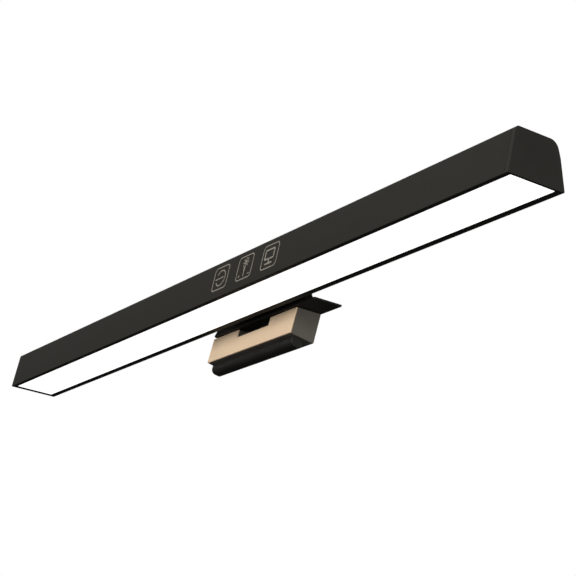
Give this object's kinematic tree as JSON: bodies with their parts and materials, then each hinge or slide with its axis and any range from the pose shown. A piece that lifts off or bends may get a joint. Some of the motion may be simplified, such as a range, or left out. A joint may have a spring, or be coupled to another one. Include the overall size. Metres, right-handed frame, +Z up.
{
  "type": "monitor light bar",
  "caption": "Slim black lamp bar with a white diffuser below and touch keys in front, on a tilting clip with a sprung padded leg for a screen's top edge",
  "frame": {"origin": "On the flat underside of the clip plate at mid-length of the bar, where the plate rests on the top edge of a screen", "axes": "+X along the bar to the user's right when facing the screen, +Y to the rear over the screen, +Z up"},
  "size_m": [0.45, 0.0455, 0.0402],
  "materials": {
    "shell_black": "matte black anodised-look coating, faint edge sheen",
    "cap_black": "fine-textured matte black moulding",
    "diffuser_white": "opal white, evenly lit",
    "clear_acrylic": "polished clear acrylic",
    "board_green": "solder-masked circuit board",
    "led_cool": "pale phosphor-coated packages",
    "led_warm": "amber phosphor-coated packages",
    "film_white": "white reflective film",
    "spreader_grey": "bare sheet, satin",
    "foam_grey": "conductive foam",
    "chip_black": "moulded epoxy",
    "ferrite_grey": "sintered ferrite, matt",
    "nylon_white": "natural nylon",
    "bare_steel": "zinc-plated steel",
    "weight_steel": "plain steel block",
    "wire_black": "insulated wire, matt",
    "bracket_grey": "dark coated pressed steel, semi-gloss",
    "plate_black": "fine-textured black coating",
    "pad_beige": "soft beige elastomer, matt",
    "leg_grey": "warm dark grey moulding, matt",
    "rubber_black": "black rubber, slight sheen"
  },
  "bodies": {
    "clip": {"clip_plate": "plate_black", "tilt_pin": "bare_steel", "lock_nut": "bare_steel", "friction_washer_left": "nylon_white", "friction_washer_right": "nylon_white"},
    "light_bar": {"bar_housing": "shell_black", "left_end_cap": "cap_black", "right_end_cap": "cap_black", "diffuser": "diffuser_white", "light_guide": "clear_acrylic", "reflector_film": "film_white", "heat_spreader": "spreader_grey", "led_board": "board_green", "led_row_cool": "led_cool", "led_row_warm": "led_warm", "touch_board": "board_green", "touch_pad_power": "foam_grey", "touch_pad_brightness": "foam_grey", "touch_pad_screen": "foam_grey", "control_chip": "chip_black", "driver_coil": "ferrite_grey", "lead_connector": "nylon_white", "usb_shell": "bare_steel", "usb_tongue": "chip_black", "usb_board": "board_green", "power_lead": "wire_black", "tilt_bracket": "bracket_grey", "nut_plate": "bare_steel", "bracket_screw_left": "bare_steel", "bracket_screw_right": "bare_steel"},
    "leg": {"leg_housing": "leg_grey", "leg_pad": "pad_beige", "foot_bar": "rubber_black", "leg_weight": "weight_steel", "leg_cover": "leg_grey", "cover_screw_left": "bare_steel", "cover_screw_right": "bare_steel", "leg_pin": "bare_steel", "leg_spring": "bare_steel"}
  },
  "joints": [
    {"name": "bar_tilt", "type": "hinge", "parent": "clip", "child": "light_bar", "pos_m": [0.008, -0.0017, 0.0056], "axis": [1, 0, 0], "range_deg": [-15, 15]},
    {"name": "leg_swing", "type": "hinge", "parent": "clip", "child": "leg", "pos_m": [-0.0023, 0.0102, -0.00195], "axis": [1, 0, 0], "range_deg": [0, 90], "stiffness_Nm_per_rad": 0.02, "springref_deg": -60.16}
  ]
}
